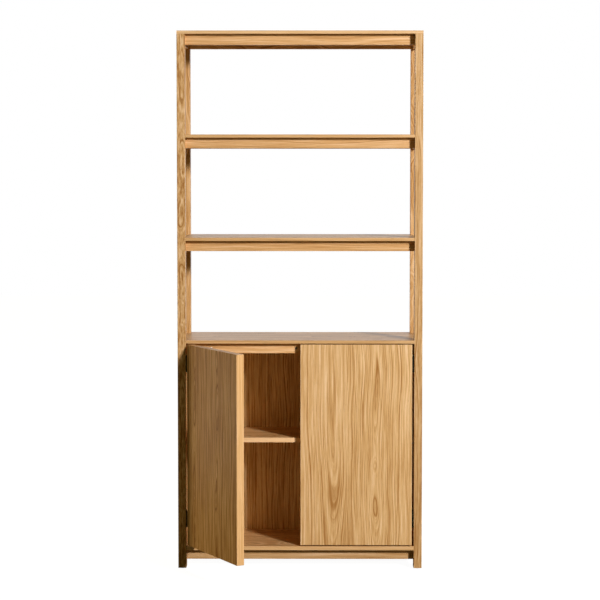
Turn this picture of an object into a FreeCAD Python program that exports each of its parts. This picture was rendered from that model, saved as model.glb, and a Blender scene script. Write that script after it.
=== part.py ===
import FreeCAD
import Part
import os

# Tall oak bookcase: four posts, open shelves above, a two-door cabinet below.
# Millimetres. +Z is up, the front faces -Y, the origin lies on the floor under
# the middle of the four posts. The left door stands open, the right one is shut.

# Overall size
total_height = 2000.0
total_width = 908.0
total_depth = 350.0

# Posts
post_width = 30.0
post_depth = 48.0
edge_round = 1.2

# Boards and the rails under them
board_thickness = 12.0
base_board_thickness = 15.0
shelf_pitch = 381.0
rail_height = 39.0
rail_thickness = 20.0
side_rail_inset = 4.0
base_clearance = 32.0

# Cabinet walls
side_panel_thickness = 12.0
back_panel_thickness = 6.0
back_panel_setback = 10.0
groove_depth = 6.0
groove_clearance = 0.1

# Shelf inside the cabinet
inner_shelf_thickness = 18.0
inner_shelf_share = 0.508
inner_shelf_end_gap = 1.0
inner_shelf_overlap = 14.0
pin_radius = 2.5
pin_in_post = 8.0
pin_under_shelf = 8.0
pin_setback = 7.0
pin_hole_pitch = 32.0
pin_hole_steps = (-2, -1, 0, 1, 2)

# Doors
door_thickness = 29.0
door_side_gap = 7.4
door_centre_gap = 3.0
door_top_gap = 3.5
door_bottom_gap = 4.5
door_rear_gap = 2.0
left_door_angle = 61.4
right_door_angle = 0.0

# Butt hinges: a leaf on the post and one on the door's edge, with the pin between
hinge_pin_depth = 1.4
upper_hinge_inset = 71.0
lower_hinge_inset = 99.0
hinge_height = 60.0
leaf_thickness = 2.0
leaf_depth = 20.0
leaf_corner = 3.0
knuckle_radius = 3.4
knuckle_count = 5
knuckle_gap = 0.3
knuckle_leaf_gap = 0.4
hinge_pin_radius = 1.6
hinge_pin_clearance = 0.05
hinge_pin_head_radius = 2.6
hinge_pin_head_height = 1.5
leaf_screw_half_spacing = 19.0
leaf_screw_head_radius = 3.3
leaf_screw_radius = 1.6
leaf_screw_length = 15.0

# Push latches in the front rail of the cabinet
latch_offset = 14.0
latch_radius = 5.0
latch_fit = 0.05
latch_length = 45.0
plunger_radius = 3.0
plunger_clearance = 0.1
plunger_length = 25.0
plunger_tip_gap = 0.3
plunger_room = 6.0
strike_radius = 7.0
strike_thickness = 1.0
buffer_offset = 330.0
buffer_radius = 4.0
buffer_gap = 0.3

# Dowels, screws, glides and wall fixing
dowel_radius = 4.0
dowel_length = 31.0
dowel_wall = 1.0
dowel_height_shares = (0.2, 0.8)
top_dowel_in_board = 8.0
rail_screw_radius = 2.0
rail_screw_head_radius = 4.0
rail_screw_head_height = 3.0
rail_screw_recess = 4.0
rail_screw_bite = 8.0
rail_screw_clearance = 0.2
rail_screw_shares = (-0.38, 0.0, 0.38)
glide_radius = 8.5
glide_height = 4.5
glide_round = 1.0
glide_stem_radius = 2.0
glide_stem_length = 15.0
wall_hole_radius = 2.75
wall_hole_offset = 300.0
cut_overrun = 1.0

# Places that follow from the sizes above
half_width = total_width / 2
front_y = -total_depth / 2
back_y = total_depth / 2
inner_half_width = half_width - post_width
rail_recess = door_thickness + door_rear_gap
rear_post_front = total_depth - post_depth
rear_rail_front = total_depth - rail_recess - rail_thickness
side_rail_outer = half_width - side_rail_inset
side_rail_inner = side_rail_outer - rail_thickness
side_rail_middle = side_rail_outer - rail_thickness / 2
post_top = total_height - board_thickness
upper_shelf_z = total_height - shelf_pitch
middle_shelf_z = upper_shelf_z - shelf_pitch
cabinet_top_z = middle_shelf_z - shelf_pitch
cabinet_ceiling_z = cabinet_top_z - board_thickness
base_rail_top = base_clearance + rail_height
base_board_z = base_rail_top + base_board_thickness
rail_dowel_in_post = side_rail_middle - dowel_radius - dowel_wall - inner_half_width
back_panel_front = total_depth - back_panel_setback - back_panel_thickness
inner_shelf_z = base_board_z + (cabinet_ceiling_z - base_board_z) * inner_shelf_share
inner_shelf_back = rear_post_front + inner_shelf_overlap

hinge_edge = inner_half_width - door_side_gap
door_width = hinge_edge - door_centre_gap / 2
door_bottom = base_board_z + door_bottom_gap
door_top = cabinet_ceiling_z - door_top_gap
hinge_heights = (door_top - upper_hinge_inset, door_bottom + lower_hinge_inset)
hinge_pin_reach = door_side_gap / 2
knuckle_pitch = hinge_height / knuckle_count
leaf_front = hinge_pin_depth + knuckle_radius + knuckle_leaf_gap
leaf_back = leaf_front + leaf_depth
leaf_middle = leaf_front + leaf_depth / 2
latch_z = cabinet_ceiling_z - rail_height / 2

# Name of each level, top of its rails and top and thickness of its board
levels = {
    "top": (post_top, total_height, board_thickness),
    "upper_shelf": (upper_shelf_z - board_thickness, upper_shelf_z, board_thickness),
    "middle_shelf": (middle_shelf_z - board_thickness, middle_shelf_z, board_thickness),
    "cabinet": (cabinet_ceiling_z, cabinet_top_z, board_thickness),
    "base": (base_rail_top, base_board_z, base_board_thickness),
}

x_axis = FreeCAD.Vector(1, 0, 0)
y_axis = FreeCAD.Vector(0, 1, 0)
z_axis = FreeCAD.Vector(0, 0, 1)


def block(x_low, x_high, depth_low, depth_high, z_low, z_high):
    """A box given by its limits, with the depth counted from the front plane."""
    corner = FreeCAD.Vector(x_low, front_y + depth_low, z_low)
    return Part.makeBox(x_high - x_low, depth_high - depth_low, z_high - z_low, corner)


def rod(radius, length, x, depth, z, direction):
    """A cylinder that starts at a point and runs along a direction."""
    return Part.makeCylinder(radius, length, FreeCAD.Vector(x, front_y + depth, z), direction)


def eased(shape, direction):
    """The shape with its outer long edges along one direction rounded over."""
    box = shape.BoundBox
    longest = max(box.XLength, box.YLength, box.ZLength)
    edges = []
    for edge in shape.Edges:
        ends = edge.Vertexes
        if len(ends) != 2:
            continue
        run = ends[1].Point.sub(ends[0].Point)
        if abs(run.dot(direction)) > longest * 0.9:
            edges.append(edge)
    return shape.makeFillet(edge_round, edges)


def mirrored(shape):
    """The same piece on the other side of the middle plane."""
    return shape.mirror(FreeCAD.Vector(0, 0, 0), x_axis)


def save(name, *solids):
    """Write one named piece, or a group of like pieces, to its own file."""
    shape = solids[0] if len(solids) == 1 else Part.makeCompound(list(solids))
    shape.exportStep("parts/" + name + ".step")


# Dowels

def dowel_heights(rail_top):
    """Heights of the two dowels in each end of a rail."""
    return [rail_top - rail_height * share for share in dowel_height_shares]


def cross_rail_dowels(rail_top, rail_front):
    """Dowels at both ends of a rail that runs from side to side."""
    start = inner_half_width + rail_dowel_in_post - dowel_length
    depth = rail_front + rail_thickness / 2
    right = [rod(dowel_radius, dowel_length, start, depth, z, x_axis) for z in dowel_heights(rail_top)]
    return right + [mirrored(dowel) for dowel in right]


def side_rail_dowels(rail_top):
    """Dowels at both ends of a right-hand rail that runs from front to back."""
    front_start = post_depth - rail_dowel_in_post
    back_start = rear_post_front + rail_dowel_in_post - dowel_length
    dowels = []
    for start in (front_start, back_start):
        for z in dowel_heights(rail_top):
            dowels.append(rod(dowel_radius, dowel_length, side_rail_middle, start, z, y_axis))
    return dowels


def top_dowels():
    """One dowel from the top of each right-hand post into the top board."""
    z = post_top + top_dowel_in_board - dowel_length
    x = half_width - post_width / 2
    depths = (post_depth / 2, total_depth - post_depth / 2)
    return [rod(dowel_radius, dowel_length, x, depth, z, z_axis) for depth in depths]


def all_dowels():
    """Every dowel of the frame, right-hand ones first."""
    cross = []
    side = top_dowels()
    for rail_top, board_top, thickness in levels.values():
        cross += cross_rail_dowels(rail_top, rail_recess)
        cross += cross_rail_dowels(rail_top, rear_rail_front)
        side += side_rail_dowels(rail_top)
    return cross + side + [mirrored(dowel) for dowel in side]


# Rails, boards and the screws that join them

def screw_places():
    """Places along X of the screws in a rail that runs from side to side."""
    return [2 * inner_half_width * share for share in rail_screw_shares]


def rail_screw(x, depth, rail_top, clearance):
    """A screw from below a rail into its board; with a clearance it is the hole."""
    head_z = rail_top - rail_height + rail_screw_recess - rail_screw_head_height
    shank_z = head_z + rail_screw_head_height
    shank = rod(rail_screw_radius + clearance, rail_top + rail_screw_bite - head_z, x, depth, head_z, z_axis)
    if clearance > 0:
        head_z = rail_top - rail_height
    head = rod(rail_screw_head_radius + clearance, shank_z - head_z, x, depth, head_z, z_axis)
    return head.fuse(shank)


def level_screws(rail_top, clearance):
    """The screws of one level, or the holes for them."""
    depths = (rail_recess + rail_thickness / 2, rear_rail_front + rail_thickness / 2)
    return [rail_screw(x, depth, rail_top, clearance) for depth in depths for x in screw_places()]


def cross_rail(rail_top, rail_front, cuts):
    """A rail from post to post, drilled for its dowels and screws."""
    rail = block(-inner_half_width, inner_half_width, rail_front, rail_front + rail_thickness,
                 rail_top - rail_height, rail_top)
    return eased(rail, x_axis).cut(cuts)


def side_rail(rail_top, cuts):
    """A right-hand rail from the front post to the rear post."""
    rail = block(side_rail_inner, side_rail_outer, post_depth, rear_post_front,
                 rail_top - rail_height, rail_top)
    return eased(rail, y_axis).cut(cuts)


def board(board_top, thickness, cuts):
    """A board between the posts, with ears that cover the side rails."""
    low = board_top - thickness
    middle = eased(block(-inner_half_width, inner_half_width, 0, total_depth, low, board_top), x_axis)
    ears = block(-side_rail_outer, side_rail_outer, post_depth, rear_post_front, low, board_top)
    return middle.fuse(ears).removeSplitter().cut(cuts)


def top_board(cuts):
    """The top, which covers the posts."""
    plain = block(-half_width, half_width, 0, total_depth, post_top, total_height)
    return eased(plain, x_axis).cut(cuts)


def wall_holes():
    """Two holes through the top rear rail, for screws into a wall."""
    length = rail_thickness + 2 * cut_overrun
    z = post_top - rail_height / 2
    return [rod(wall_hole_radius, length, x, rear_rail_front - cut_overrun, z, y_axis)
            for x in (-wall_hole_offset, wall_hole_offset)]


def latch_bores():
    """Bores of the two push latches through the cabinet's front rail."""
    length = rail_thickness + 2 * cut_overrun
    return [rod(latch_radius + latch_fit, length, x, rail_recess - cut_overrun, latch_z, y_axis)
            for x in (-latch_offset, latch_offset)]


def make_frame(dowels):
    """Rails and boards of every level, with their screws."""
    screws = []
    for name, (rail_top, board_top, thickness) in levels.items():
        cuts = Part.makeCompound(dowels + level_screws(rail_top, rail_screw_clearance))
        front_rail = cross_rail(rail_top, rail_recess, cuts)
        rear_rail = cross_rail(rail_top, rear_rail_front, cuts)
        if name == "top":
            rear_rail = rear_rail.cut(wall_holes())
            save("top_board", top_board(cuts))
        else:
            save(name + "_board", board(board_top, thickness, cuts))
        if name == "cabinet":
            front_rail = front_rail.cut(latch_bores())
        right_rail = side_rail(rail_top, cuts)
        save(name + "_front_rail", front_rail)
        save(name + "_rear_rail", rear_rail)
        save(name + "_right_rail", right_rail)
        save(name + "_left_rail", mirrored(right_rail))
        screws += level_screws(rail_top, 0)
    save("rail_screws", *screws)
    save("wood_dowels", *dowels)


# Posts, glides and the cabinet's fixed walls

def side_groove(depth_low, depth_high):
    """The groove that holds one edge of the right-hand side panel."""
    inner = side_rail_outer - side_panel_thickness - groove_clearance
    return block(inner, side_rail_outer + groove_clearance, depth_low, depth_high,
                 base_board_z, cabinet_ceiling_z - rail_height)


def back_groove():
    """The groove in the rear post that holds one edge of the back panel."""
    return block(inner_half_width - cut_overrun, inner_half_width + groove_depth,
                 back_panel_front - groove_clearance,
                 back_panel_front + back_panel_thickness + groove_clearance,
                 base_board_z, cabinet_ceiling_z)


def pin_holes(depth):
    """A row of holes in a post for the pins under the inner shelf."""
    start = inner_half_width - cut_overrun
    length = pin_in_post + 2 * cut_overrun
    base_z = inner_shelf_z - pin_radius
    return [rod(pin_radius + latch_fit, length, start, depth, base_z + step * pin_hole_pitch, x_axis)
            for step in pin_hole_steps]


def glide(depth):
    """A round glide with a stem, under the middle of a right-hand post."""
    x = half_width - post_width / 2
    foot = rod(glide_radius, glide_height, x, depth, 0, z_axis)
    rim = [edge for edge in foot.Edges if edge.Closed and edge.CenterOfMass.z < glide_height / 2]
    foot = foot.makeFillet(glide_round, rim)
    return foot.fuse(rod(glide_stem_radius, glide_stem_length, x, depth, glide_height, z_axis))


def post(depth_low, cuts):
    """A right-hand post, drilled and grooved for what it holds."""
    plain = block(inner_half_width, half_width, depth_low, depth_low + post_depth, glide_height, post_top)
    return eased(plain, z_axis).cut(Part.makeCompound(cuts))


def make_posts(dowels, hardware_cuts):
    """Four posts and their glides; the left ones mirror the right ones."""
    front_middle = post_depth / 2
    rear_middle = total_depth - front_middle
    front_glide = glide(front_middle)
    rear_glide = glide(rear_middle)
    right_dowels = [dowel for dowel in dowels if dowel.CenterOfMass.x > 0]
    front_pins = pin_holes(rail_recess + pin_setback)
    rear_pins = pin_holes(inner_shelf_back - pin_setback)
    front_side_groove = side_groove(post_depth - groove_depth, post_depth + cut_overrun)
    rear_side_groove = side_groove(rear_post_front - cut_overrun, rear_post_front + groove_depth)
    front_cuts = right_dowels + front_pins + hardware_cuts + [front_glide, front_side_groove]
    rear_cuts = right_dowels + rear_pins + [rear_glide, rear_side_groove, back_groove()]
    front_post = post(0, front_cuts)
    rear_post = post(rear_post_front, rear_cuts)
    save("front_right_post", front_post)
    save("front_left_post", mirrored(front_post))
    save("rear_right_post", rear_post)
    save("rear_left_post", mirrored(rear_post))
    save("foot_glides", front_glide, rear_glide, mirrored(front_glide), mirrored(rear_glide))


def make_walls():
    """Side panels and the back panel, each held in grooves."""
    side = block(side_rail_outer - side_panel_thickness, side_rail_outer,
                 post_depth - groove_depth, rear_post_front + groove_depth,
                 base_board_z, cabinet_ceiling_z - rail_height)
    save("right_side_panel", side)
    save("left_side_panel", mirrored(side))
    reach = inner_half_width + groove_depth
    back = block(-reach, reach, back_panel_front, back_panel_front + back_panel_thickness,
                 base_board_z, cabinet_ceiling_z)
    save("back_panel", back)


def make_inner_shelf():
    """The shelf inside the cabinet on its four pins."""
    half = inner_half_width - inner_shelf_end_gap
    shelf = block(-half, half, rail_recess, inner_shelf_back,
                  inner_shelf_z, inner_shelf_z + inner_shelf_thickness)
    save("inner_shelf", eased(shelf, x_axis))
    pins = []
    for depth in (rail_recess + pin_setback, inner_shelf_back - pin_setback):
        start = inner_half_width - pin_under_shelf
        pins.append(rod(pin_radius, pin_under_shelf + pin_in_post, start, depth,
                        inner_shelf_z - pin_radius, x_axis))
    save("shelf_pins", *pins, *[mirrored(pin) for pin in pins])


# Left-hand door and hinge pieces, first drawn shut and then turned open.
# "reach" is counted from the door's hinge edge towards the middle.

def reach_block(reach_low, reach_high, depth_low, depth_high, z_low, z_high):
    """A box placed from the left door's hinge edge."""
    return block(reach_low - hinge_edge, reach_high - hinge_edge, depth_low, depth_high, z_low, z_high)


def opened(shape, angle):
    """The piece turned about the hinge pin, which stands in the gap beside the door."""
    turned = shape.copy()
    pin = FreeCAD.Vector(-hinge_edge - hinge_pin_reach, front_y + hinge_pin_depth, 0)
    turned.rotate(pin, z_axis, -angle)
    return turned


def pin_rod(radius, z_low, z_high):
    """An upright rod about the hinge pin's axis."""
    return rod(radius, z_high - z_low, -hinge_edge - hinge_pin_reach, hinge_pin_depth, z_low, z_axis)


def knuckles(z, first):
    """Every second knuckle of a hinge, counted from the first."""
    low = z - hinge_height / 2
    trim = knuckle_gap / 2
    steps = range(first, knuckle_count, 2)
    return [(low + step * knuckle_pitch + trim, low + (step + 1) * knuckle_pitch - trim) for step in steps]


def hinge_leaf(z, reach_low, reach_high, first, screws):
    """A leaf with its knuckles, bored for the pin and the screws."""
    half = hinge_height / 2
    plate = reach_block(reach_low, reach_high, leaf_front, leaf_back, z - half, z + half)
    corners = [edge for edge in plate.Edges
               if edge.BoundBox.XLength > leaf_thickness / 2 and edge.CenterOfMass.y > front_y + leaf_middle]
    leaf = plate.makeFillet(leaf_corner, corners)
    for low, high in knuckles(z, first):
        leaf = leaf.fuse(reach_block(reach_low, reach_high, hinge_pin_depth, leaf_front, low, high))
        leaf = leaf.fuse(pin_rod(knuckle_radius, low, high))
    bore = pin_rod(hinge_pin_radius + hinge_pin_clearance, z - half - cut_overrun, z + half + cut_overrun)
    return leaf.removeSplitter().cut(Part.makeCompound([bore, *screws]))


def hinge_pin(z):
    """The pin through all knuckles, with a flat head at each end."""
    half = hinge_height / 2
    pin = pin_rod(hinge_pin_radius, z - half, z + half)
    for low in (z - half - hinge_pin_head_height, z + half):
        pin = pin.fuse(pin_rod(hinge_pin_head_radius, low, low + hinge_pin_head_height))
    return pin.removeSplitter()


def leaf_screws(face, into_wood):
    """The four screws of one side's leaves, with heads sunk flush in the leaf's face."""
    screws = []
    for z in hinge_heights:
        for offset in (-leaf_screw_half_spacing, leaf_screw_half_spacing):
            top = FreeCAD.Vector(face, front_y + leaf_middle, z + offset)
            head = Part.makeCone(leaf_screw_head_radius, leaf_screw_radius, leaf_thickness, top, into_wood)
            shank = Part.makeCylinder(leaf_screw_radius, leaf_screw_length, top, into_wood)
            screws.append(head.fuse(shank))
    return screws


def post_leaf_screws():
    """Screws from the leaf on the post into the post."""
    return leaf_screws(-inner_half_width + leaf_thickness, -x_axis)


def door_leaf_screws():
    """Screws from the leaf on the door's edge into the door."""
    return leaf_screws(-hinge_edge - leaf_thickness, x_axis)


def door_leaf():
    """The door itself, bored for its hinge screws."""
    leaf = reach_block(0, door_width, 0, door_thickness, door_bottom, door_top)
    return leaf.makeFillet(edge_round, leaf.Edges).cut(door_leaf_screws())


def save_pair(name, pieces, left_angle, right_angle):
    """Save like pieces for the left door and, mirrored, for the right one."""
    save("left_" + name, *[opened(piece, left_angle) for piece in pieces])
    save("right_" + name, *[mirrored(opened(piece, right_angle)) for piece in pieces])


def make_doors():
    """Both doors with the pieces that turn with them."""
    screws = door_leaf_screws()
    leaves = [hinge_leaf(z, -leaf_thickness, 0, 1, screws) for z in hinge_heights]
    strike = rod(strike_radius, strike_thickness, -latch_offset, door_thickness, latch_z, y_axis)
    swinging = {"door": [door_leaf()], "hinge_door_leaves": leaves, "hinge_door_screws": screws,
                "latch_strike": [strike]}
    for name, pieces in swinging.items():
        save_pair(name, pieces, left_door_angle, right_door_angle)


def make_hinges():
    """The hinge leaves on the posts, with their screws and pins."""
    screws = post_leaf_screws()
    post_side = -door_side_gap
    leaves = [hinge_leaf(z, post_side, post_side + leaf_thickness, 0, screws) for z in hinge_heights]
    save_pair("hinge_post_leaves", leaves, 0, 0)
    save_pair("hinge_post_screws", screws, 0, 0)
    save_pair("hinge_pins", [hinge_pin(z) for z in hinge_heights], 0, 0)


# Push latches and buffers on the cabinet's front rail

def latch_housing(x):
    """A tube in the rail with a blind bore for its plunger."""
    tube = rod(latch_radius, latch_length, x, rail_recess, latch_z, y_axis)
    bore = rod(plunger_radius + plunger_clearance, plunger_length + plunger_room, x,
               rail_recess - cut_overrun, latch_z, y_axis)
    return tube.cut(bore)


def make_latches():
    """Latch housings, plungers and the buffers that meet the doors."""
    tip = door_thickness + strike_thickness + plunger_tip_gap
    places = (-latch_offset, latch_offset)
    save("latch_housings", *[latch_housing(x) for x in places])
    for side, x in zip(("left", "right"), places):
        save(side + "_latch_plunger", rod(plunger_radius, plunger_length, x, tip, latch_z, y_axis))
    start = door_thickness + buffer_gap
    buffers = [rod(buffer_radius, rail_recess - start, x, start, latch_z, y_axis)
               for x in (-buffer_offset, buffer_offset)]
    save("door_buffers", *buffers)


os.makedirs("parts", exist_ok=True)
frame_dowels = all_dowels()
make_frame(frame_dowels)
make_posts(frame_dowels, [mirrored(screw) for screw in post_leaf_screws()])
make_walls()
make_inner_shelf()
make_doors()
make_hinges()
make_latches()
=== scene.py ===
from math import cos, pi, radians, sin

import bpy
import numpy as np
from bpy.props import FloatProperty, FloatVectorProperty, PointerProperty
from mathutils import Matrix, Vector


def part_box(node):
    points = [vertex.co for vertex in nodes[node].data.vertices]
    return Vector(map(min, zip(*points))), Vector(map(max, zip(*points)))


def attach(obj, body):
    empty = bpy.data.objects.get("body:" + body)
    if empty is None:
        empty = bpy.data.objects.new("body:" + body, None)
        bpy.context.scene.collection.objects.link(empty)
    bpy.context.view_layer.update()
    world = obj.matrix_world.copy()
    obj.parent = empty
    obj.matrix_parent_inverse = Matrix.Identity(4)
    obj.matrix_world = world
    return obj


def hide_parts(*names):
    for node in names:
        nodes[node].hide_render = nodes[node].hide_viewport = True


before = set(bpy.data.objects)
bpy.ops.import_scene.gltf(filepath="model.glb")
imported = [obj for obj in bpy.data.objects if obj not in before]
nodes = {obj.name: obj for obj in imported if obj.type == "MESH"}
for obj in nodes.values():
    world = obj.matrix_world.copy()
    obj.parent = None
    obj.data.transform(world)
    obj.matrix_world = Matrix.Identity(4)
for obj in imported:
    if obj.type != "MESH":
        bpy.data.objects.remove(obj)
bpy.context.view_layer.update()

bl_info = {
    "name": "Oak Bookcase",
    "version": (1, 0, 0),
    "blender": (4, 5, 0),
    "location": "View3D > Sidebar > Bookcase",
    "description": "Dresses a tall oak bookcase in wood, metal and plastic and lights it",
    "category": "Add Mesh",
}

# The part stands on the floor at z = 0, faces -Y and is measured in metres.
left_door_angle = radians(61.4)
board_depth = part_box("top_board")[1].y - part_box("top_board")[0].y
side_names = ("left", "right")
level_names = ("top", "upper_shelf", "middle_shelf", "cabinet", "base")

# How deep an edge's own grain reaches into the wood, and where the first leaf of any piece starts
lip_skin = 0.0009
far_left = -10.0

# Places that the doors and their fittings share
door_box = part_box("right_door")
door_front = door_box[0].y
door_thickness = door_box[1].y - door_front
door_low, door_high = door_box[0].z, door_box[1].z
hinge_edge = door_box[1].x
pin_reach = (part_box("front_right_post")[0].x - hinge_edge) / 2
pin_depth = 0.0014
hinge_levels = (door_high - 0.071, door_low + 0.099)
leaf_thickness = 0.002
leaf_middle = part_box("right_hinge_post_leaves")[1].y - 0.010 - door_front
leaf_screw_offsets = (-0.019, 0.019)
flush_dome = 0.0006


def colour(red, green, blue):
    """A screen colour of 0 to 255 a channel, as linear red, green, blue and full opacity."""
    shares = np.array((red, green, blue)) / 255.0
    linear = np.where(shares <= 0.04045, shares / 12.92, ((shares + 0.055) / 1.055) ** 2.4)
    return (*(float(share) for share in linear), 1.0)


# Settings that a user would change

class OakLook(bpy.types.PropertyGroup):
    """Colours and scale of the oak's figure"""
    pale: FloatVectorProperty(name="Pale wood", description="Colour between the rings", subtype="COLOR",
                              size=4, min=0.0, max=1.0, default=colour(233, 193, 148))
    middle: FloatVectorProperty(name="Middle wood", description="Colour of most of the wood", subtype="COLOR",
                                size=4, min=0.0, max=1.0, default=colour(209, 163, 108))
    dark: FloatVectorProperty(name="Dark wood", description="Colour of the ring lines", subtype="COLOR",
                              size=4, min=0.0, max=1.0, default=colour(166, 114, 61))
    pore: FloatVectorProperty(name="Pores", description="Colour inside the open pores", subtype="COLOR",
                              size=4, min=0.0, max=1.0, default=colour(120, 76, 38))
    ring_width: FloatProperty(name="Ring width", description="Mean distance from ring to ring",
                              default=0.0055, min=0.001, max=0.02, unit="LENGTH")
    roughness: FloatProperty(name="Roughness", description="Roughness of the oiled face",
                             default=0.38, min=0.0, max=1.0, subtype="FACTOR")


class FittingLook(bpy.types.PropertyGroup):
    """Colours of hinges, screws and plastic pieces"""
    hinge: FloatVectorProperty(name="Hinge metal", description="Black metal of leaves, pins and screws",
                               subtype="COLOR", size=4, min=0.0, max=1.0, default=colour(44, 41, 38))
    steel: FloatVectorProperty(name="Steel", description="Plated steel of screws and pins",
                               subtype="COLOR", size=4, min=0.0, max=1.0, default=colour(196, 194, 188))
    plastic: FloatVectorProperty(name="Plastic", description="Moulded latches",
                                 subtype="COLOR", size=4, min=0.0, max=1.0, default=colour(86, 66, 48))
    glide: FloatVectorProperty(name="Glides", description="Moulded glides under the posts",
                               subtype="COLOR", size=4, min=0.0, max=1.0, default=colour(150, 147, 142))
    buffer: FloatVectorProperty(name="Buffers", description="Soft buffers behind the doors",
                                subtype="COLOR", size=4, min=0.0, max=1.0, default=colour(214, 210, 202))


class StageLook(bpy.types.PropertyGroup):
    """Camera, lamps and floor"""
    lens: FloatProperty(name="Lens", description="Focal length in millimetres", default=113.79, min=10.0)
    camera_place: FloatVectorProperty(name="Camera", description="Place of the camera", size=3,
                                      subtype="TRANSLATION", unit="LENGTH", default=(0.0396, -7.178, 1.5273))
    camera_pitch: FloatProperty(name="Pitch", description="How far the camera looks down",
                                default=radians(3.339), subtype="ANGLE")
    camera_turn: FloatProperty(name="Turn", description="How far the camera looks to the left",
                               default=radians(0.322), subtype="ANGLE")
    camera_shift: FloatProperty(name="Shift", description="Upward shift of the picture", default=-0.05)
    key_place: FloatVectorProperty(name="Soft box", description="Place of the soft box at the front right",
                                   size=3, subtype="TRANSLATION", unit="LENGTH", default=(4.20, -6.20, 3.30))
    key_power: FloatProperty(name="Soft box power", description="Power of the soft box",
                             default=685.0, min=0.0, unit="POWER")
    left_power: FloatProperty(name="Left wall power", description="Power of the pale wall at the left",
                              default=52.0, min=0.0, unit="POWER")
    front_fill: FloatVectorProperty(name="Front fill", description="Weak warm light from the room in front",
                                    subtype="COLOR", size=4, min=0.0, max=1.0,
                                    default=(0.052, 0.057, 0.016, 1.0))
    rear_fill: FloatVectorProperty(name="Rear fill", description="Light that the white backdrop gives back",
                                   subtype="COLOR", size=4, min=0.0, max=1.0,
                                   default=(0.55, 0.50, 0.38, 1.0))
    floor: FloatVectorProperty(name="Floor", description="Colour that the floor throws back", subtype="COLOR",
                               size=4, min=0.0, max=1.0, default=colour(132, 124, 94))


# Shader sums

class Shade:
    """A shader socket whose sums with other sockets or numbers add Math nodes to its tree."""

    def __init__(self, tree, socket=None):
        self.tree = tree
        self.socket = socket

    def node(self, kind, settings, values, output=0):
        """Adds a node with its settings and the values or links of its inputs, and returns one output."""
        made = self.tree.nodes.new(kind)
        made.location = (len(self.tree.nodes) * 170.0, 0.0)
        for key, value in settings.items():
            if key == "stops":
                while len(made.color_ramp.elements) < len(value):
                    made.color_ramp.elements.new(1.0)
                for element, (place, tint) in zip(made.color_ramp.elements, value):
                    element.position = place
                    element.color = tint
            elif key == "run":
                made.color_ramp.interpolation = value
            else:
                setattr(made, key, value)
        for key, value in values.items():
            if isinstance(value, Shade):
                self.tree.links.new(value.socket, made.inputs[key])
            else:
                made.inputs[key].default_value = value
        return Shade(self.tree, made.outputs[output])

    def maths(self, operation, first, second=0.0):
        """One Math node on two values."""
        return self.node("ShaderNodeMath", {"operation": operation}, {0: first, 1: second})

    def __add__(self, other):
        return self.maths("ADD", self, other)

    def __radd__(self, other):
        return self.maths("ADD", other, self)

    def __sub__(self, other):
        return self.maths("SUBTRACT", self, other)

    def __rsub__(self, other):
        return self.maths("SUBTRACT", other, self)

    def __mul__(self, other):
        return self.maths("MULTIPLY", self, other)

    def __rmul__(self, other):
        return self.maths("MULTIPLY", other, self)

    def __truediv__(self, other):
        return self.maths("DIVIDE", self, other)

    def __rtruediv__(self, other):
        return self.maths("DIVIDE", other, self)

    def __pow__(self, other):
        return self.maths("POWER", self, other)

    def __gt__(self, other):
        return self.maths("GREATER_THAN", self, other)

    def waves(self, scale, detail=0.0, roughness=0.5):
        """Smooth noise along one value, about 0 with a swing of about one half."""
        kind = {"noise_dimensions": "1D"}
        sockets = {"W": self, "Scale": scale, "Detail": detail, "Roughness": roughness}
        return self.node("ShaderNodeTexNoise", kind, sockets) - 0.5

    def cloud(self, stretch, detail=2.0, roughness=0.5):
        """Noise in space about 0, with its own scale along each axis."""
        scaled = self.node("ShaderNodeVectorMath", {"operation": "MULTIPLY"}, {0: self, 1: stretch})
        sockets = {"Vector": scaled, "Scale": 1.0, "Detail": detail, "Roughness": roughness}
        return self.node("ShaderNodeTexNoise", {}, sockets) - 0.5

    def ease(self, low, high):
        """A smooth step from 0 at low to 1 at high."""
        kind = {"interpolation_type": "SMOOTHSTEP"}
        return self.node("ShaderNodeMapRange", kind, {"Value": self, "From Min": low, "From Max": high})

    def blend(self, first, second):
        """The first colour where this value is 0, the second where it is 1."""
        return self.node("ShaderNodeMix", {"data_type": "RGBA"}, {0: self, 6: first, 7: second}, 2)

    def bump(self, strength, distance):
        """A normal that makes this value stand proud of the surface."""
        return self.node("ShaderNodeBump", {}, {"Height": self, "Strength": strength, "Distance": distance})


def new_material(name):
    """An empty material: the material, a start for its sums and its surface shader."""
    material = bpy.data.materials.new(name)
    material.use_nodes = True
    tree = material.node_tree
    surface = tree.nodes["Principled BSDF"]
    return material, Shade(tree), surface


def object_place(start):
    """The Object coordinates."""
    return start.node("ShaderNodeTexCoord", {}, {}, "Object")


def feed(surface, **inputs):
    """Links or sets the surface shader's inputs; underscores stand for spaces."""
    for key, value in inputs.items():
        socket = surface.inputs[key.replace("_", " ")]
        if isinstance(value, Shade):
            value.tree.links.new(value.socket, socket)
        else:
            socket.default_value = value


# Oak

AXES = {"x": Vector((1, 0, 0)), "y": Vector((0, 1, 0)), "z": Vector((0, 0, 1))}


def grain_turn(grain, thin, spin=0.0):
    """The turn that lays local Z along the grain and local Y through the piece's thickness."""
    along = AXES[grain]
    through = AXES[thin]
    across = through.cross(along)
    square = Matrix((across, through, along)).transposed()
    return (Matrix.Rotation(spin, 3, "Z") @ square).to_euler()


def tinted(tint, share):
    """A colour made lighter or darker by a share, or by one share for each channel, at full opacity."""
    return (*(float(channel) for channel in np.minimum(np.array(tint[:3]) * share, 1.0)), 1.0)


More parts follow.
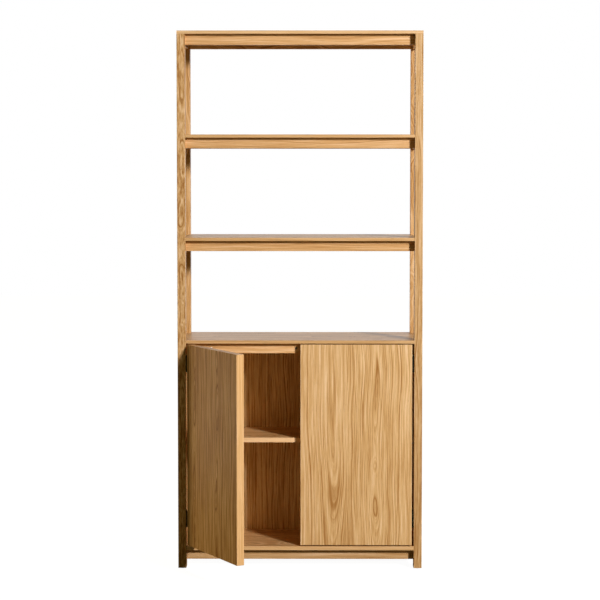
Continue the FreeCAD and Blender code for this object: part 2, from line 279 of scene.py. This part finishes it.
def heart_rise(start, along, length, swell, figure):
    """How far the heart lies below its usual depth at each place along the grain.

    Without a figure it wanders freely by the swell. A figure is the piece's length, the greatest depth
    and pairs of a share of the length and a share of that depth, for arches at chosen heights.
    """
    if figure is None:
        return length.waves(4.1, 2.0, 0.45) * 2.0 * swell
    piece_length, reach, pairs = figure
    stops = [(place, (share, share, share, 1.0)) for place, share in pairs]
    fall = start.node("ShaderNodeValToRGB", {"stops": stops, "run": "CARDINAL"},
                      {0: along / piece_length + 0.5})
    return fall * reach


def oak(name, middle, grain, thin, hearts, tone=1.0, spin=0.0, swell=0.030, mottle=0.0, vigour=1.0,
        shine=0.12, lip=None, fade=0.0):
    """Solid oak as a tree grew it.

    Rings are cylinders about a heart that wanders along the grain, so a face near the heart's side
    shows cathedral arches and the end grain shows arcs. Each entry of hearts is the place across the
    piece where a leaf of wood starts, its heart's place across, the heart's depth behind the face, a
    shift along the grain that makes the leaf differ from its neighbour, and its figure or None.
    Tone is a share on all colours, or one for each channel. Swell is how far the heart wanders. Vigour
    strengthens the whole figure and mottle its short patches. A lip is a strip of straight grain on the
    edges, given as its distance from the middle and its depth of tone. The painted falloff is painted
    shade: how much the tone deepens per metre towards the piece's foot, where the soft box's light
    falls off, and shine the level of its mirror.
    """
    look = bpy.context.scene.oak_look
    material, start, surface = new_material(name)
    place = start.node("ShaderNodeMapping", {"vector_type": "TEXTURE"},
                       {"Vector": object_place(start), "Location": middle,
                        "Rotation": grain_turn(grain, thin, spin)})
    split = [start.node("ShaderNodeSeparateXYZ", {}, {0: place}, axis) for axis in range(3)]
    across, through, along = split
    heart, depth, shift, figure = hearts[0][1:]
    rise = heart_rise(start, along, along + shift, swell, figure)
    for before, leaf in zip(hearts, hearts[1:]):
        inside = across > leaf[0]
        heart = inside * (leaf[1] - before[1]) + heart
        depth = inside * (leaf[2] - before[2]) + depth
        shift = inside * (leaf[3] - before[3]) + shift
        if leaf[4] is not None:
            rise = inside * (heart_rise(start, along, along, swell, leaf[4]) - rise) + rise
    length = along + shift
    leaf_place = start.node("ShaderNodeCombineXYZ", {}, {0: across, 1: through, 2: length})

    # Distance from the wandering heart
    sideways = across - heart + length.waves(2.3, 1.0) * 0.030
    deep = through + depth + rise
    ripple = leaf_place.cloud((22.0, 22.0, 3.0), 2.0) * 0.0035
    radius = (sideways * sideways + deep * deep) ** 0.5 + ripple
    grown = start.node("ShaderNodeCombineXYZ", {}, {0: radius, 1: sideways, 2: length})

    # Rings of uneven width and strength, streaks and bands that follow them, fibres and pores
    count = radius / look.ring_width + radius.waves(90.0, 1.0) * 1.6
    ring = count.node("ShaderNodeMath", {"operation": "FRACT"}, {0: count})
    early = 1.0 - ring.ease(0.0, 0.55)
    late = ring.ease(0.80, 1.0)
    line = (early + late * 0.6) * (radius.waves(150.0) * 2.2 + 0.55)
    streak = grown.cloud((205.0, 12.0, 2.6), 2.5, 0.62)
    band = radius.waves(46.0, 2.0, 0.6) * 1.7
    fibre = leaf_place.cloud((260.0, 260.0, 7.0), 3.0, 0.70)
    cast = leaf_place.cloud((7.0, 7.0, 1.6), 2.0)
    pores = leaf_place.cloud((1500.0, 1500.0, 42.0), 1.0).ease(0.10, 0.22) * (early * 0.75 + 0.25)

    figure_tone = line * 0.42 + streak * 1.8 + band * 0.14 + fibre * 1.6 - 0.05
    # Painted shade: the painted falloff darkens the tone towards the piece's foot, as the soft box's light
    # falls off
    depth_of_tone = figure_tone * vigour + cast * 0.30 - along * fade + 0.43
    if mottle > 0.0:
        depth_of_tone = depth_of_tone + leaf_place.cloud((150.0, 150.0, 38.0), 2.0, 0.6) * mottle
    if lip is not None:
        edge, lip_tone = lip
        on_edge = across.maths("ABSOLUTE", across) > edge
        straight = leaf_place.cloud((500.0, 500.0, 6.0), 3.0, 0.6) * 1.6 + cast * 0.3 + lip_tone
        depth_of_tone = on_edge * (straight - depth_of_tone) + depth_of_tone
    steps = ((0.0, look.pale), (0.45, look.middle), (1.0, look.dark))
    stops = [(step, tinted(tint, tone)) for step, tint in steps]
    wood = start.node("ShaderNodeValToRGB", {"stops": stops}, {0: depth_of_tone})
    paint = (pores * 0.55).blend(wood, tinted(look.pore, tone))
    relief = fibre * 0.35 - pores * 0.8 - line * 0.12
    feed(surface, Base_Color=paint, Roughness=pores * 0.22 + fibre * 0.16 + look.roughness,
         Normal=relief.bump(0.22, 0.0004), Specular_IOR_Level=shine)
    return material


# Metal, plastic and raw wood

def plated(name, tint, roughness, brush):
    """Plated metal with fine brushing, faint stains and rubbed patches."""
    material, start, surface = new_material(name)
    place = object_place(start)
    lines = place.cloud(brush, 2.0, 0.6)
    stains = place.cloud((160.0, 160.0, 160.0), 3.0, 0.55)
    share = stains.ease(-0.18, 0.22)
    paint = share.blend(tinted(tint, 0.80), tinted(tint, 1.12))
    feed(surface, Base_Color=paint, Metallic=1.0, Roughness=lines * 0.22 + stains * 0.18 + roughness,
         Normal=lines.bump(0.12, 0.0001))
    return material


def moulded(name, tint, roughness, grain_scale):
    """Moulded plastic or rubber with a fine spark texture and slight clouding."""
    material, start, surface = new_material(name)
    place = object_place(start)
    spark = place.cloud((grain_scale,) * 3, 2.0, 0.6)
    mist = place.cloud((90.0, 90.0, 90.0), 2.0)
    paint = mist.ease(-0.25, 0.25).blend(tinted(tint, 0.88), tinted(tint, 1.08))
    feed(surface, Base_Color=paint, Roughness=spark * 0.25 + mist * 0.10 + roughness,
         Normal=spark.bump(0.25, 0.0002))
    return material


def beech(name):
    """Raw beech with short pale flecks, for the dowels."""
    material, start, surface = new_material(name)
    place = object_place(start)
    fleck = place.cloud((420.0, 420.0, 420.0), 2.0, 0.5).ease(0.05, 0.20)
    cast = place.cloud((60.0, 60.0, 60.0), 2.0).ease(-0.2, 0.2)
    wood = cast.blend(colour(214, 178, 136), colour(226, 194, 154))
    paint = (fleck * 0.5).blend(wood, colour(170, 128, 88))
    feed(surface, Base_Color=paint, Roughness=fleck * 0.1 + 0.62, Normal=fleck.bump(0.2, 0.0002))
    return material


def shared(name, maker, *details):
    """The material of this name, made the first time that it is asked for."""
    return bpy.data.materials.get(name) or maker(name, *details)


def hinge_metal():
    """The black metal of leaves, pins and leaf screws."""
    return shared("black_nickel", plated, bpy.context.scene.fitting_look.hinge, 0.34, (900.0, 900.0, 120.0))


def plated_steel():
    """The bright metal of rail screws, shelf pins and strikes."""
    return shared("plated_steel", plated, bpy.context.scene.fitting_look.steel, 0.28, (700.0, 700.0, 700.0))


# Dressing the carried-over pieces

def middle_of(node):
    """The middle of a CAD node's box."""
    low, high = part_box(node)
    return (low + high) / 2


def dress(node, material):
    """Puts a material in every slot of a CAD node."""
    for slot in nodes[node].material_slots:
        slot.material = material


def dress_oak(node, grain, thin, hearts, tone=1.0, middle=None, **choices):
    """Gives a CAD node oak of its own, cut from its own place in the tree."""
    whole = [(*leaf, None)[:5] for leaf in hearts]
    dress(node, oak("oak_" + node, middle or middle_of(node), grain, thin, whole, tone, **choices))


def one_heart(across, depth, shift):
    """A piece cut from a single leaf of wood."""
    return [(far_left, across, depth, shift)]


# Surfaces worked out on a grid

def skin(grid):
    """A closed skin over rings of points, from one pole to the other.

    grid holds rings of points, ring by ring; each ring is joined to the next by four-sided faces, and
    the first and last ring are closed by a fan about their mean point.
    """
    rings, sides = grid.shape[:2]
    points = np.concatenate((grid.reshape(-1, 3), grid[:1].mean(1), grid[-1:].mean(1)))
    ring, side = np.meshgrid(np.arange(rings - 1), np.arange(sides), indexing="ij")
    after = (side + 1) % sides
    quads = np.stack((ring * sides + side, ring * sides + after,
                      (ring + 1) * sides + after, (ring + 1) * sides + side), -1).reshape(-1, 4)
    side = np.arange(sides)
    after = (side + 1) % sides
    first = np.stack((np.full(sides, rings * sides), after, side), -1)
    last = (rings - 1) * sides
    end = np.stack((np.full(sides, rings * sides + 1), last + side, last + after), -1)
    return points, quads, np.concatenate((first, end))


def mesh_piece(name, parts, material, body, replaced):
    """One object from several skins, given its material, its body and the nodes that it stands for."""
    points, faces, count = [], [], 0
    for skin_points, quads, fans in parts:
        points.append(skin_points)
        faces += (quads + count).tolist() + (fans + count).tolist()
        count += len(skin_points)
    mesh = bpy.data.meshes.new(name)
    mesh.from_pydata(np.concatenate(points).tolist(), [], faces)
    mesh.materials.append(material)
    mesh.shade_smooth()
    mesh.set_sharp_from_angle(angle=radians(38))
    piece = bpy.data.objects.new(name, mesh)
    bpy.context.scene.collection.objects.link(piece)
    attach(piece, body)
    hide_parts(*replaced)


def frame_about(axis):
    """Two directions square to an axis, with the axis last, as rows."""
    ahead = Vector(axis).normalized()
    side = ahead.orthogonal().normalized()
    return np.array((side, ahead.cross(side), ahead))


def turned(profile, start, axis, sides=32):
    """A turned skin: each point is start + radius x (cosine, sine) about the axis + height x the axis.

    The profile starts at the middle and first runs outward at the near end, so the skin faces outward.
    """
    radii, heights = np.array(profile, float).T
    angles = np.linspace(0, 2 * pi, sides, endpoint=False)
    side, other, ahead = frame_about(axis)
    circle = np.cos(angles)[:, None] * side + np.sin(angles)[:, None] * other
    grid = np.array(start) + radii[:, None, None] * circle + heights[:, None, None] * ahead
    return skin(grid)


def eased_profile(profile, share=0.25, steps=4):
    """The profile with each inner corner cut by a short arc, a share of the shorter run beside it.

    The arc is (1 - t)^2 enter + 2 t (1 - t) corner + t^2 leave, with t from 0 to 1.
    """
    points = np.array(profile, float)
    out = [points[0]]
    arc = np.linspace(0, 1, steps + 1)[:, None]
    for before, corner, after in zip(points, points[1:], points[2:]):
        reach = share * min(np.linalg.norm(before - corner), np.linalg.norm(after - corner))
        enter = corner + (before - corner) / max(np.linalg.norm(before - corner), 1e-9) * reach
        leave = corner + (after - corner) / max(np.linalg.norm(after - corner), 1e-9) * reach
        out += list((1 - arc) ** 2 * enter + 2 * arc * (1 - arc) * corner + arc ** 2 * leave)
    out.append(points[-1])
    return np.array(out)


def cross_head(radius, height, start, axis, shank_radius, shank_length, sink=0.0001, recess=0.0, sides=48):
    """A screw: a domed head with a cross-shaped recess, on a cone as deep as the sink and a pointed shank.

    The head's height at a point is the dome, a parabola over its radius, less the recess, which falls
    smoothly inside two crossed bars.
    """
    shares = np.linspace(0.0, 1.0, 13)[1:]
    angles = np.linspace(0, 2 * pi, sides, endpoint=False)
    across = shares[:, None] * radius * np.cos(angles)
    upright = shares[:, None] * radius * np.sin(angles)
    reach = np.hypot(across, upright) / radius
    arm = np.minimum(np.abs(across), np.abs(upright)) / radius
    inside = np.clip((0.17 - arm) / 0.07, 0, 1) * np.clip((0.62 - reach) / 0.14, 0, 1)
    level = height * (1 - 0.35 * reach ** 2) - (recess or 0.75 * height) * inside
    side, other, ahead = frame_about(axis)
    head = (np.array(start) + across[..., None] * side + upright[..., None] * other
            + level[..., None] * ahead)
    lower_radii = np.array((radius, radius * 0.92, shank_radius, shank_radius, shank_radius * 0.25))
    lower_levels = np.array((height * 0.15, 0.0, -sink, -shank_length * 0.85, -shank_length * 0.995))
    circle = np.cos(angles)[:, None] * side + np.sin(angles)[:, None] * other
    lower = np.array(start) + lower_radii[:, None, None] * circle + lower_levels[:, None, None] * ahead
    return skin(np.concatenate((head, lower))[::-1])


def leaf_screw(start, axis):
    """A sunk screw whose low dome ends flush with the hinge leaf's face."""
    return cross_head(0.0032, flush_dome, start, axis, 0.0016, 0.0142, sink=0.0014, recess=0.0011)


# Places of the fittings

def door_frame(side):
    """A door's hinge pin, its direction from the hinge edge to the middle and its direction into the
    cabinet, at rest: the left door stands open and the right one is shut."""
    sign = -1.0 if side == "left" else 1.0
    pin = Vector((sign * (hinge_edge + pin_reach), door_front + pin_depth, 0.0))
    spin = Matrix.Rotation(-left_door_angle if side == "left" else 0.0, 3, "Z")
    return pin, spin @ Vector((-sign, 0.0, 0.0)), spin @ Vector((0.0, 1.0, 0.0))


def on_door(side, reach, depth, level):
    """A point on a door, counted from its hinge edge and its front face."""
    pin, along, inward = door_frame(side)
    point = pin + along * (pin_reach + reach) + inward * (depth - pin_depth)
    return Vector((point.x, point.y, level))


# One operator for each piece or group of like pieces

class BOOKCASE_OT_posts(bpy.types.Operator):
    """Dress the four posts in upright solid oak"""
    bl_idname = "bookcase.posts"
    bl_label = "Posts"

    def execute(self, context):
        dress_oak("front_left_post", "z", "y", one_heart(0.004, 0.030, 3.1), 0.90, mottle=2.0)
        # The right post's darker, less saturated tone is painted shade that evens out the near soft box's
        # strong light, and its painted falloff darkens it towards its foot
        dress_oak("front_right_post", "z", "y", one_heart(-0.052, 0.040, 7.7), (0.875, 0.89, 0.915),
                  mottle=0.6, fade=0.18)
        dress_oak("rear_left_post", "z", "y", one_heart(0.035, 0.060, 12.4), 0.99)
        dress_oak("rear_right_post", "z", "y", one_heart(-0.020, 0.050, 15.9), 1.0)
        return {"FINISHED"}


class BOOKCASE_OT_boards(bpy.types.Operator):
    """Dress the five boards in oak that runs from side to side"""
    bl_idname = "bookcase.boards"
    bl_label = "Boards"

    def execute(self, context):
        for count, level in enumerate(level_names):
            shift = 2.3 + 3.7 * count
            leaves = [(far_left, -0.120, 0.060, shift), (-0.085, -0.010, 0.050, shift + 1.3),
                      (0.070, 0.125, 0.060, shift + 2.1)]
            lip = (board_depth / 2 - lip_skin, 0.22 if level == "top" else 0.46)
            dress_oak(level + "_board", "x", "z", leaves, shine=0.75, lip=lip)
        return {"FINISHED"}


class BOOKCASE_OT_rails(bpy.types.Operator):
    """Dress the rails under the boards in solid oak along their length"""
    bl_idname = "bookcase.rails"
    bl_label = "Rails"

    def execute(self, context):
        for count, level in enumerate(level_names):
            shift = 31.0 + 5.3 * count
            # The cabinet's front rail gets a paler tone, painted light that cancels the shade under its
            # board; the base's front rail gets a darker one, painted shade under the base board
            tone = {"cabinet": 1.10, "base": 0.84}.get(level, 1.0)
            dress_oak(level + "_front_rail", "x", "y", one_heart(0.110, 0.050, shift),
                      (tone, tone, tone * 1.05), swell=0.020, vigour=0.75)
            dress_oak(level + "_rear_rail", "x", "y", one_heart(0.030, 0.050, shift + 1.7))
            dress_oak(level + "_left_rail", "y", "x", one_heart(-0.020, 0.050, shift + 2.6))
            dress_oak(level + "_right_rail", "y", "x", one_heart(0.025, 0.045, shift + 3.9))
        return {"FINISHED"}


class BOOKCASE_OT_panels(bpy.types.Operator):
    """Dress the cabinet's back and side panels in upright oak"""
    bl_idname = "bookcase.panels"
    bl_label = "Cabinet panels"

    def execute(self, context):
        back = [(far_left, -0.800, 0.070, 60.2), (-0.250, -0.650, 0.070, 61.9), (-0.120, -0.240, 0.030, 63.1),
                (0.030, 0.480, 0.060, 64.6), (0.200, 0.700, 0.070, 66.3)]
        side = [(far_left, -0.400, 0.060, 70.4), (0.0, 0.350, 0.055, 71.8)]
        # The back panel's paler, less saturated tone is painted light that brightens the shaded inside of the
        # cabinet
        dress_oak("back_panel", "z", "y", back, (1.24, 1.42, 1.48), vigour=1.35)
        dress_oak("left_side_panel", "z", "x", side, 1.04)
        dress_oak("right_side_panel", "z", "x", side, 1.04)
        return {"FINISHED"}


class BOOKCASE_OT_inner_shelf(bpy.types.Operator):
    """Dress the cabinet's inner shelf"""
    bl_idname = "bookcase.inner_shelf"
    bl_label = "Inner shelf"

    def execute(self, context):
        leaves = [(far_left, -0.090, 0.060, 81.0), (-0.040, 0.020, 0.050, 82.6), (0.080, 0.150, 0.060, 84.9)]
        low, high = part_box("inner_shelf")
        lip = ((high.y - low.y) / 2 - lip_skin, 0.03)
        dress_oak("inner_shelf", "x", "z", leaves, 1.04, lip=lip)
        return {"FINISHED"}


class BOOKCASE_OT_doors(bpy.types.Operator):
    """Dress both doors in leaves of upright oak with cathedral figure"""
    bl_idname = "bookcase.doors"
    bl_label = "Doors"

    def execute(self, context):
        tall = door_high - door_low
        arrow = (tall, 0.034, ((0.0, 1.0), (0.13, 0.81), (0.23, 0.62), (0.30, 0.48), (0.42, 0.24),
                               (0.55, 0.07), (0.72, 0.0), (1.0, 0.05)))
        arches = (tall, 0.022, ((0.0, 1.0), (0.08, 0.71), (0.13, 0.48), (0.18, 0.24), (0.25, 0.40),
                                (0.34, 0.52), (0.40, 0.33), (0.45, 0.57), (0.54, 0.48), (0.61, 0.24),
                                (0.72, 0.0), (0.83, 0.24), (1.0, 0.48)))
        right = [(far_left, -0.088, 0.020, 0.0, arrow), (-0.037, 0.071, 0.018, 5.2, arches)]
        lip = ((door_box[1].x - door_box[0].x) / 2 - lip_skin, 0.32)
        # The right door's painted falloff is painted shade that darkens it towards its foot
        dress_oak("right_door", "z", "y", right, (1.03, 1.08, 1.14), lip=lip, fade=0.15)
        left = [(far_left, -0.141, 0.022, 9.4), (-0.057, 0.048, 0.024, 114.3), (0.110, 0.390, 0.050, 17.0)]
        low, high = door_box
        shut = Vector((-(low.x + high.x) / 2, (low.y + high.y) / 2, (low.z + high.z) / 2))
        pin = door_frame("left")[0]
        middle = pin + Matrix.Rotation(-left_door_angle, 3, "Z") @ (shut - pin)
        dress_oak("left_door", "z", "y", left, (1.0, 0.97, 0.92), middle=middle, spin=-left_door_angle,
                  swell=0.022, vigour=1.5, lip=lip)
        return {"FINISHED"}


class BOOKCASE_OT_dowels(bpy.types.Operator):
    """Dress the dowels inside the joints in raw beech"""
    bl_idname = "bookcase.dowels"
    bl_label = "Dowels"

    def execute(self, context):
        dress("wood_dowels", shared("raw_beech", beech))
        return {"FINISHED"}


class BOOKCASE_OT_hinges(bpy.types.Operator):
    """Dress the hinge leaves and turn the pins between them"""
    bl_idname = "bookcase.hinges"
    bl_label = "Hinges"

    def execute(self, context):
        for side in side_names:
            dress(side + "_hinge_post_leaves", hinge_metal())
            dress(side + "_hinge_door_leaves", hinge_metal())
            foot = door_frame(side)[0]
            half = hinge_levels[1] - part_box(side + "_hinge_pins")[0].z
            outline = [(0.0, -half), (0.0018, -half), (0.0026, -half * 0.985), (0.0026, 0.0015 - half),
                       (0.0016, 0.0015 - half), (0.0016, half - 0.0015), (0.0026, half - 0.0015),
                       (0.0026, half * 0.985), (0.0018, half), (0.0, half)]
            pins = [turned(eased_profile(outline, 0.2), (foot.x, foot.y, level), (0, 0, 1))
                    for level in hinge_levels]
            mesh_piece(side + "_turned_pins", pins, hinge_metal(), "carcass", [side + "_hinge_pins"])
        return {"FINISHED"}


class BOOKCASE_OT_screws(bpy.types.Operator):
    """Turn the cross-headed screws of rails and hinge leaves"""
    bl_idname = "bookcase.screws"
    bl_label = "Screws"

    def execute(self, context):
        rail_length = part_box("base_front_rail")[1].x * 2
        screws = []
        for level in level_names:
            for place in ("_front_rail", "_rear_rail"):
                low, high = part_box(level + place)
                for share in (-0.38, 0.0, 0.38):
                    start = (rail_length * share, (low.y + high.y) / 2, low.z + 0.004)
                    screws.append(cross_head(0.004, 0.003, start, (0, 0, -1), 0.002, 0.043))
        mesh_piece("turned_rail_screws", screws, plated_steel(), "carcass", ["rail_screws"])
        for side in side_names:
            out_of_door = -door_frame(side)[1]
            out_of_post = Vector((1.0 if side == "left" else -1.0, 0.0, 0.0))
            post_face = hinge_edge + 2 * pin_reach - leaf_thickness + flush_dome
            door_screws, post_screws = [], []
            for level in hinge_levels:
                for offset in leaf_screw_offsets:
                    start = on_door(side, flush_dome - leaf_thickness, leaf_middle, level + offset)
                    door_screws.append(leaf_screw(start, out_of_door))
                    start = Vector((-out_of_post.x * post_face, door_front + leaf_middle, level + offset))
                    post_screws.append(leaf_screw(start, out_of_post))
            mesh_piece(side + "_turned_door_screws", door_screws, hinge_metal(), side + "_door",
                       [side + "_hinge_door_screws"])
            mesh_piece(side + "_turned_post_screws", post_screws, hinge_metal(), "carcass",
                       [side + "_hinge_post_screws"])
        return {"FINISHED"}


class BOOKCASE_OT_latches(bpy.types.Operator):
    """Mould the push latches and turn the discs that they meet"""
    bl_idname = "bookcase.latches"
    bl_label = "Push latches"

    def execute(self, context):
        plastic = shared("latch_plastic", moulded, context.scene.fitting_look.plastic, 0.42, 2600.0)
        low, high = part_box("latch_housings")
        level = (low.z + high.z) / 2
        length = high.y - low.y
        bore = 0.0031
        tube = eased_profile([(0.0, 0.030), (bore, 0.030), (bore, 0.0), (0.005, 0.0), (0.005, length),
                              (0.0, length)], 0.12)
        tubes = [turned(tube, (x, low.y, level), (0, 1, 0)) for x in (low.x + 0.005, high.x - 0.005)]
        mesh_piece("moulded_housings", tubes, plastic, "carcass", ["latch_housings"])
        for side in side_names:
            low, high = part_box(side + "_latch_plunger")
            length = high.y - low.y
            nose = eased_profile([(0.0, 0.0), (0.003, 0.0), (0.003, 0.0030), (0.0026, 0.0030),
                                  (0.0026, 0.0045), (0.003, 0.0045), (0.003, length), (0.0, length)], 0.3)
            start = ((low.x + high.x) / 2, low.y, level)
            mesh_piece(side + "_moulded_plunger", [turned(nose, start, (0, 1, 0))], plastic,
                       side + "_latch_plunger", [side + "_latch_plunger"])
            disc = eased_profile([(0.0, 0.0), (0.007, 0.0), (0.007, 0.001), (0.0026, 0.001), (0.0014, 0.0004),
                                  (0.0, 0.0004)], 0.2)
            start = on_door(side, hinge_edge - abs(low.x + high.x) / 2, door_thickness, level)
            mesh_piece(side + "_turned_strike", [turned(disc, start, door_frame(side)[2])], plated_steel(),
                       side + "_door", [side + "_latch_strike"])
        return {"FINISHED"}


class BOOKCASE_OT_shelf_pins(bpy.types.Operator):
    """Turn the pins that carry the inner shelf"""
    bl_idname = "bookcase.shelf_pins"
    bl_label = "Shelf pins"

    def execute(self, context):
        low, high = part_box("shelf_pins")
        radius = (high.z - low.z) / 2
        pin = eased_profile([(0.0, 0.0), (radius, 0.0), (radius, 0.0072), (0.0034, 0.0072), (0.0034, 0.0078),
                             (radius, 0.0078), (radius, 0.016), (0.0, 0.016)], 0.3)
        pins = []
        for sign in (-1.0, 1.0):
            for depth in (low.y + radius, high.y - radius):
                start = (sign * (high.x - 0.016), depth, low.z + radius)
                pins.append(turned(pin, start, (sign, 0.0, 0.0)))
        mesh_piece("turned_shelf_pins", pins, plated_steel(), "carcass", ["shelf_pins"])
        return {"FINISHED"}


class BOOKCASE_OT_glides(bpy.types.Operator):
    """Mould the glides under the posts"""
    bl_idname = "bookcase.glides"
    bl_label = "Glides"

    def execute(self, context):
        plastic = shared("glide_plastic", moulded, context.scene.fitting_look.glide, 0.5, 2200.0)
        low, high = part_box("foot_glides")
        radius = 0.0085
        foot = eased_profile([(0.0, 0.0), (0.0060, 0.0), (radius, 0.0012), (radius, 0.0045), (0.002, 0.0045),
                              (0.002, 0.0190), (0.0, 0.0195)], 0.35)
        feet = [turned(foot, (x, y, 0.0), (0, 0, 1))
                for x in (low.x + radius, high.x - radius) for y in (low.y + radius, high.y - radius)]
        mesh_piece("moulded_glides", feet, plastic, "carcass", ["foot_glides"])
        return {"FINISHED"}


class BOOKCASE_OT_buffers(bpy.types.Operator):
    """Mould the soft buffers that the doors close on"""
    bl_idname = "bookcase.buffers"
    bl_label = "Door buffers"

    def execute(self, context):
        soft = shared("buffer_rubber", moulded, context.scene.fitting_look.buffer, 0.38, 1800.0)
        low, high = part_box("door_buffers")
        radius = (high.z - low.z) / 2
        thickness = high.y - low.y
        arc = np.linspace(pi / 2, 0.0, 9)
        dome = [(0.0, 0.0), (radius, 0.0)]
        dome += [(radius * sin(turn), thickness * (1.0 - 0.45 * (1.0 - cos(turn)))) for turn in arc]
        buffers = [turned(dome, (x, high.y, (low.z + high.z) / 2), (0, -1, 0))
                   for x in (low.x + radius, high.x - radius)]
        mesh_piece("moulded_buffers", buffers, soft, "carcass", ["door_buffers"])
        return {"FINISHED"}


class BOOKCASE_OT_stage(bpy.types.Operator):
    """Set the camera, the lamps, the white surround and the pale floor"""
    bl_idname = "bookcase.stage"
    bl_label = "Stage"

    def execute(self, context):
        look = context.scene.stage_look
        add_camera(look)
        add_lamps(look)
        add_surround(look)
        add_floor(look)
        context.scene.view_settings.view_transform = "Standard"
        return {"FINISHED"}


# Camera, lamps and floor

def add_camera(look):
    """The camera of the reference view."""
    camera = bpy.data.cameras.new("view")
    camera.lens = look.lens
    camera.sensor_width = 36.0
    camera.shift_y = look.camera_shift
    holder = bpy.data.objects.new("view", camera)
    holder.location = look.camera_place
    holder.rotation_euler = (pi / 2 - look.camera_pitch, 0.0, look.camera_turn)
    bpy.context.scene.collection.objects.link(holder)
    bpy.context.scene.camera = holder


def add_lamp(name, place, aim, power, width, height, tint):
    """The object of a lit rectangle at a place that shines towards an aim."""
    lamp = bpy.data.lights.new(name, "AREA")
    lamp.shape = "RECTANGLE"
    lamp.energy = power
    lamp.size = width
    lamp.size_y = height
    lamp.color = tint
    holder = bpy.data.objects.new(name, lamp)
    holder.location = place
    holder.rotation_euler = (Vector(place) - Vector(aim)).to_track_quat("Z", "Y").to_euler()
    bpy.context.scene.collection.objects.link(holder)
    return holder


def add_lamps(look):
    """A soft box at the front right, near enough for its light to fall off down the bookcase, and a
    weak warm wall of light at the left that no gloss mirrors."""
    add_lamp("soft_box", look.key_place, (0.0, 0.0, 1.0), look.key_power, 0.75, 0.9, (1.0, 0.985, 0.96))
    wall = add_lamp("left_wall", (-3.0, 1.6, 0.55), (-0.3, -0.2, 0.35), look.left_power, 1.6, 1.0,
                    (1.0, 0.76, 0.40))
    wall.visible_glossy = False


def ray_kind(start, kind):
    """1 on rays of one kind."""
    return start.node("ShaderNodeLightPath", {}, {}, kind)


def add_surround(look):
    """A world that is white to look at, with a pale backdrop behind the bookcase and a dim room in front.

    Light comes from behind at the backdrop's level and from the front at the room's level. Gloss
    mirrors white straight behind the bookcase and the room elsewhere.
    """
    world = bpy.data.worlds.new("surround")
    world.use_nodes = True
    start = Shade(world.node_tree)
    ahead = start.node("ShaderNodeTexCoord", {}, {}, "Generated")
    back = start.node("ShaderNodeSeparateXYZ", {}, {0: ahead}, 1)
    behind = back.ease(0.0, 0.35)
    gloss = ray_kind(start, "Is Glossy Ray")
    white = (ray_kind(start, "Is Camera Ray") + ray_kind(start, "Is Transmission Ray")
             + gloss * back.ease(0.70, 0.95))
    fill = (behind * (1.0 - gloss)).blend(tuple(look.front_fill), tuple(look.rear_fill))
    light = white.maths("MINIMUM", white, 1.0).blend(fill, (1.0, 1.0, 1.0, 1.0))
    background = world.node_tree.nodes["Background"]
    world.node_tree.links.new(light.socket, background.inputs["Color"])
    bpy.context.scene.world = world


def add_floor(look):
    """A wide pale floor that keeps a faint shadow but looks white."""
    half = 14.0
    mesh = bpy.data.meshes.new("floor")
    mesh.from_pydata([(-half, -half, 0.0), (half, -half, 0.0), (half, half, 0.0), (-half, half, 0.0)],
                     [], [(0, 1, 2, 3)])
    floor = bpy.data.objects.new("floor", mesh)
    bpy.context.scene.collection.objects.link(floor)
    material, start, surface = new_material("pale_floor")
    material.node_tree.nodes.remove(surface)
    plain = start.node("ShaderNodeBsdfDiffuse", {}, {"Color": look.floor})
    veil = start.node("ShaderNodeBsdfDiffuse", {}, {"Color": (0.16, 0.16, 0.16, 1.0)})
    glow = start.node("ShaderNodeEmission", {}, {"Color": (1.0, 1.0, 1.0, 1.0), "Strength": 0.965})
    seen = start.node("ShaderNodeAddShader", {}, {0: veil, 1: glow})
    behind = start.node("ShaderNodeSeparateXYZ", {}, {0: object_place(start)}, 1).ease(0.2, 2.0)
    white = (ray_kind(start, "Is Camera Ray") + ray_kind(start, "Is Transmission Ray")
             + ray_kind(start, "Is Glossy Ray") * behind)
    mixed = start.node("ShaderNodeMixShader", {}, {0: white.maths("MINIMUM", white, 1.0), 1: plain, 2: seen})
    material.node_tree.links.new(mixed.socket, material.node_tree.nodes["Material Output"].inputs["Surface"])
    mesh.materials.append(material)


# The panel and the way that everything is run

class BOOKCASE_PT_panel(bpy.types.Panel):
    """Lists the bookcase's pieces and looks"""
    bl_label = "Oak bookcase"
    bl_idname = "BOOKCASE_PT_panel"
    bl_space_type = "VIEW_3D"
    bl_region_type = "UI"
    bl_category = "Bookcase"

    def draw(self, context):
        for operator in OPERATORS:
            self.layout.operator(operator.bl_idname)
        for group in ("oak_look", "fitting_look", "stage_look"):
            look = getattr(context.scene, group)
            box = self.layout.box()
            for key in look.__annotations__:
                box.prop(look, key)


OPERATORS = (BOOKCASE_OT_posts, BOOKCASE_OT_boards, BOOKCASE_OT_rails, BOOKCASE_OT_panels,
             BOOKCASE_OT_inner_shelf, BOOKCASE_OT_doors, BOOKCASE_OT_dowels, BOOKCASE_OT_hinges,
             BOOKCASE_OT_screws, BOOKCASE_OT_latches, BOOKCASE_OT_shelf_pins, BOOKCASE_OT_glides,
             BOOKCASE_OT_buffers, BOOKCASE_OT_stage)
CLASSES = (OakLook, FittingLook, StageLook, *OPERATORS, BOOKCASE_PT_panel)


def register():
    """Registers the classes and hangs the settings on the scene."""
    for each in CLASSES:
        bpy.utils.register_class(each)
    bpy.types.Scene.oak_look = PointerProperty(type=OakLook)
    bpy.types.Scene.fitting_look = PointerProperty(type=FittingLook)
    bpy.types.Scene.stage_look = PointerProperty(type=StageLook)


def unregister():
    """Takes the settings and the classes away again."""
    del bpy.types.Scene.stage_look
    del bpy.types.Scene.fitting_look
    del bpy.types.Scene.oak_look
    for each in reversed(CLASSES):
        bpy.utils.unregister_class(each)


def main():
    """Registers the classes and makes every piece."""
    register()
    for operator in OPERATORS:
        getattr(bpy.ops.bookcase, operator.bl_idname.split(".")[1])()


if __name__ == "__main__":
    main()
